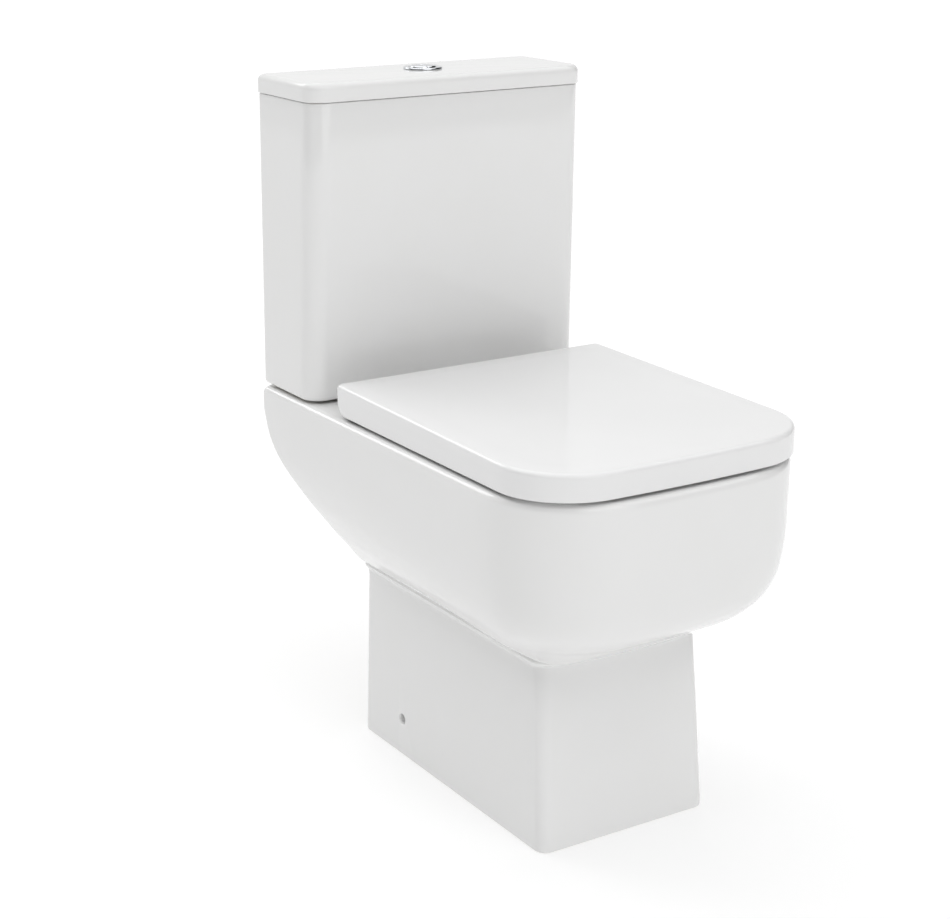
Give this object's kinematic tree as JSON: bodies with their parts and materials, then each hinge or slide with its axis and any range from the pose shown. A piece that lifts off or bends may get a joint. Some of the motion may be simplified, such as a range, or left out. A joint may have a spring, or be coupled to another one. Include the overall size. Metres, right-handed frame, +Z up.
{
  "type": "close coupled toilet",
  "caption": "Close coupled toilet: squared pan on a pedestal, slab cistern with a two part push button, and a flat wrap-over seat and lid that hinge up.",
  "frame": {"origin": "on the floor, under the centre of the whole object's box", "axes": "+X to the right seen from the front, -Y out of the front, +Y to the wall, +Z up"},
  "size_m": [0.383, 0.6, 0.807],
  "materials": {
    "vitreous_china": "white gloss glaze",
    "seat_plastic": "white moulded gloss",
    "chrome": "polished",
    "brass": "plain turned",
    "steel": "zinc plated",
    "rubber": "matte black",
    "foam": "closed cell foam, matte",
    "clear_bumper": "translucent soft bumper",
    "valve_plastic": "white moulded",
    "valve_blue": "blue moulded",
    "valve_red": "red moulded"
  },
  "bodies": {
    "root": {"pan": "vitreous_china", "cistern_tank": "vitreous_china", "close_coupling_gasket": "foam", "flush_valve_base": "valve_plastic", "flush_valve_washer": "rubber", "flush_valve_backnut": "valve_plastic", "flush_valve_cage": "valve_plastic", "fill_valve_stem": "valve_plastic", "fill_valve_washer": "rubber", "fill_valve_backnut": "valve_plastic", "fill_valve_head": "valve_plastic", "coupling_bolt_left": "brass", "coupling_bolt_right": "brass", "coupling_seal_left": "rubber", "coupling_seal_right": "rubber", "coupling_washer_left": "steel", "coupling_washer_right": "steel", "coupling_wing_nut_left": "brass", "coupling_wing_nut_right": "brass", "hinge_post_left": "seat_plastic", "hinge_post_right": "seat_plastic", "hinge_pin_left": "steel", "hinge_pin_right": "steel", "seat_fixing_stud_left": "steel", "seat_fixing_stud_right": "steel", "seat_fixing_bush_left": "rubber", "seat_fixing_bush_right": "rubber", "seat_fixing_nut_left": "valve_plastic", "seat_fixing_nut_right": "valve_plastic", "floor_bracket_left": "valve_plastic", "floor_bracket_right": "valve_plastic", "floor_screw_left": "steel", "floor_screw_right": "steel"},
    "cistern_lid": {"cistern_lid": "vitreous_china", "button_bezel": "chrome", "button_clamp_nut": "valve_plastic"},
    "full_flush": {"full_flush_button": "chrome", "full_flush_rod": "valve_plastic"},
    "half_flush": {"half_flush_button": "chrome", "half_flush_rod": "valve_plastic"},
    "flush_valve": {"overflow_tube": "valve_blue", "flush_valve_seal": "rubber"},
    "float": {"float_arm": "valve_red", "float": "valve_plastic"},
    "seat": {"seat_ring": "seat_plastic", "seat_buffer_back_left": "clear_bumper", "seat_buffer_back_right": "clear_bumper", "seat_buffer_front_left": "clear_bumper", "seat_buffer_front_right": "clear_bumper"},
    "lid": {"seat_lid": "seat_plastic", "lid_buffer_left": "clear_bumper", "lid_buffer_right": "clear_bumper"}
  },
  "joints": [
    {"name": "seat_hinge", "type": "hinge", "parent": "root", "child": "seat", "pos_m": [0, 0.1175, 0.4515], "axis": [-1, 0, 0], "range_deg": [0, 94]},
    {"name": "lid_hinge", "type": "hinge", "parent": "seat", "child": "lid", "pos_m": [0, 0.1175, 0.4515], "axis": [1, 0, 0], "range_deg": [-94, 0]},
    {"name": "cistern_lid_lift", "type": "slide", "parent": "root", "child": "cistern_lid", "axis": [0, 0, 1], "range_m": [0, 0.06]},
    {"name": "full_flush_press", "type": "slide", "parent": "cistern_lid", "child": "full_flush", "axis": [0, 0, -1], "range_m": [0, 0.006], "stiffness_N_per_m": 200, "springref_m": -0.012},
    {"name": "half_flush_press", "type": "slide", "parent": "cistern_lid", "child": "half_flush", "axis": [0, 0, -1], "range_m": [0, 0.006], "stiffness_N_per_m": 200, "springref_m": -0.012},
    {"name": "flush_valve_lift", "type": "slide", "parent": "root", "child": "flush_valve", "axis": [0, 0, 1], "range_m": [0, 0.018]},
    {"name": "float_swing", "type": "hinge", "parent": "root", "child": "float", "pos_m": [0.128, 0.236, 0.716], "axis": [0, 1, 0], "range_deg": [0, 25]}
  ],
  "couplings": [
    {"joint": "flush_valve_lift", "follows": "full_flush_press", "ratio": 3}
  ]
}
